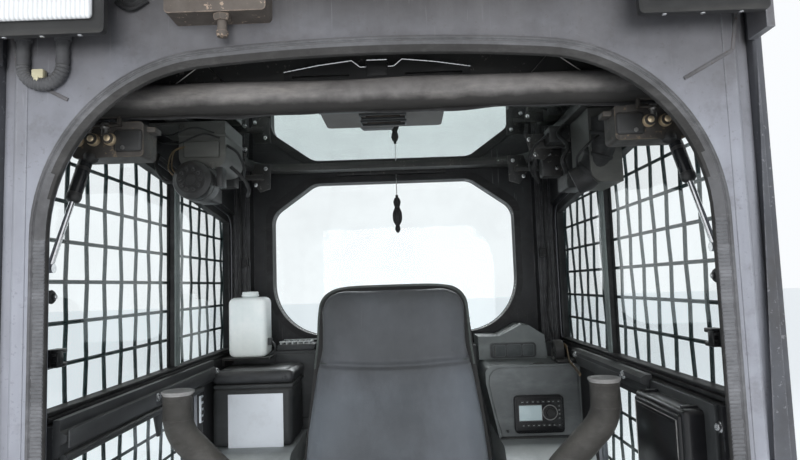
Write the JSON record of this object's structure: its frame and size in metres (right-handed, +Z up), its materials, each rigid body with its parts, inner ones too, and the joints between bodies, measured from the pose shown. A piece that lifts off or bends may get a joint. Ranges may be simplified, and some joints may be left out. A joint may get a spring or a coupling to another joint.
{
  "type": "skid steer loader cab",
  "caption": "Operator cab of a skid steer loader with a front doorway, side guards, roof-stowed door, consoles, control levers and a sliding seat.",
  "frame": {"origin": "middle of the bounding box at the underside of the base frame", "axes": "-Y is the way the cab faces, +X is to the right seen by a viewer in front of the cab, +Z is up"},
  "size_m": [0.98, 1.1, 1.49],
  "materials": {
    "black_gloss": "gloss",
    "black_plastic": "fine grain",
    "black_rubber": "matt",
    "black_steel": "satin black",
    "bottle_plastic": "translucent",
    "bracket_paint": "worn paint",
    "cab_paint": "worn satin paint",
    "dark_plastic": "grained",
    "door_glass": "tinted",
    "door_paint": "worn satin paint",
    "door_rubber": "weathered rubber",
    "floor_coating": "ribbed mat",
    "grey_plastic": "grained",
    "guard_paint": "satin black",
    "lamp_lens": "frosted",
    "lever_rubber": "soft sleeve",
    "lining": "felted",
    "pull_cord": "fine chain",
    "rail_steel": "satin",
    "seat_vinyl": "grained vinyl",
    "strut_chrome": "polished",
    "strut_paint": "gloss black",
    "tinted_glass": "tinted"
  },
  "bodies": {
    "cab": {"base_frame": "cab_paint", "belt_rails": "black_steel", "belt_retractor": "black_plastic", "blower_motor": "dark_plastic", "bottle_bracket": "black_steel", "display": "black_gloss", "door_bulb_seal": "door_rubber", "door_handle": "black_plastic", "door_hangers": "black_steel", "door_latch_cover": "black_plastic", "door_rails": "rail_steel", "door_seal": "door_rubber", "floor_plate": "floor_coating", "front_frame": "cab_paint", "header_bracket": "bracket_paint", "lamp_conduit": "black_plastic", "lever_brackets": "black_steel", "overhead_duct": "dark_plastic", "overhead_housing": "dark_plastic", "pull_tassel": "black_rubber", "radio": "black_plastic", "rear_console": "grey_plastic", "rear_header_bar": "black_steel", "rear_wall": "cab_paint", "rear_window_glass": "tinted_glass", "rear_window_seal": "black_rubber", "release_pull": "pull_cord", "right_dash": "grey_plastic", "roller_carriages": "black_steel", "roof_lining": "lining", "roof_panel": "cab_paint", "seat_pedestal": "black_steel", "seat_slide_rails": "rail_steel", "side_consoles": "grey_plastic", "side_glass_left": "tinted_glass", "side_glass_right": "tinted_glass", "side_guard_left": "guard_paint", "side_guard_right": "guard_paint", "side_wall_left": "cab_paint", "side_wall_right": "cab_paint", "storage_box": "dark_plastic", "storage_box_cover": "dark_plastic", "stowed_door_frame": "door_paint", "stowed_door_glass": "door_glass", "strut_cylinders": "strut_paint", "strut_rods": "strut_chrome", "washer_bottle": "bottle_plastic", "washer_bottle_cap": "black_plastic", "window_frame_left": "black_rubber", "window_frame_right": "black_rubber", "window_latches": "black_plastic", "work_lamp_lenses": "lamp_lens", "work_lamps": "black_plastic"},
    "lever_left": {"control_lever_left": "lever_rubber"},
    "lever_right": {"control_lever_right": "lever_rubber"},
    "seat": {"seat_pan": "black_steel", "seat_cushion": "seat_vinyl", "seat_back": "seat_vinyl", "seat_back_shell": "black_plastic"}
  },
  "joints": [
    {"name": "lever_left_swing", "type": "hinge", "parent": "cab", "child": "lever_left", "pos_m": [-0.262, -0.22, 0.15], "axis": [1, 0, 0], "range_deg": [-12, 12], "stiffness_Nm_per_rad": 90},
    {"name": "lever_right_swing", "type": "hinge", "parent": "cab", "child": "lever_right", "pos_m": [0.262, -0.22, 0.15], "axis": [1, 0, 0], "range_deg": [-12, 12], "stiffness_Nm_per_rad": 90},
    {"name": "seat_slide", "type": "slide", "parent": "cab", "child": "seat", "axis": [0, 1, 0], "range_m": [-0.06, 0.09]}
  ]
}
